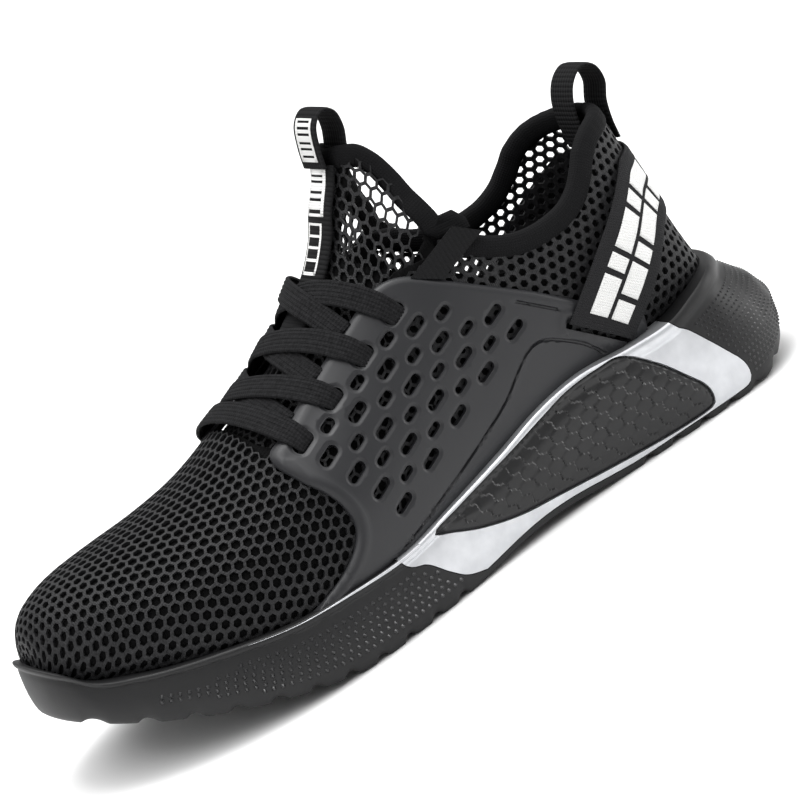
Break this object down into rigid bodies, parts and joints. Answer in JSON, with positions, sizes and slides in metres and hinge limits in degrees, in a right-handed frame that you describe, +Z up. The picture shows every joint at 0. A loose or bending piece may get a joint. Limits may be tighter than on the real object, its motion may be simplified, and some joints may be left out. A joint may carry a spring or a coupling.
{
  "type": "safety sneaker",
  "caption": "Left low safety sneaker: hollow mesh upper on a cupped rubber and silver sole, moulded side cages, flat laces, tongue and heel pull loops, heel strap.",
  "frame": {"origin": "on the floor under the middle of the heel's flat tread", "axes": "+X to the toe, +Y to the outer (lateral) side, +Z up"},
  "size_m": [0.2911, 0.1059, 0.1543],
  "materials": {
    "rubber": "satin moulded rubber with fine dots and hex relief",
    "silver": "silver paint on foam, satin",
    "hex_panel": "moulded rubber with overlapping hex scales",
    "air_mesh": "open black air mesh",
    "knit": "padded knit",
    "insole_cloth": "brushed lining cloth",
    "cage": "satin dark grey moulded TPU",
    "lace": "flat ribbed lace",
    "strap_webbing": "fine woven webbing with a white print",
    "loop_webbing": "ribbed webbing",
    "tab_webbing": "fine elastic webbing"
  },
  "bodies": {
    "root": {"outsole": "rubber", "midsole": "silver", "side_panel_lateral": "hex_panel", "side_panel_medial": "hex_panel", "upper": "air_mesh", "collar_rim": "knit", "tongue": "air_mesh", "insole": "insole_cloth", "cage_lateral": "cage", "cage_medial": "cage", "laces": "lace", "heel_strap": "strap_webbing", "heel_loop": "loop_webbing", "tongue_loop": "loop_webbing", "collar_tab_lateral": "tab_webbing", "collar_tab_medial": "tab_webbing"}
  },
  "joints": []
}
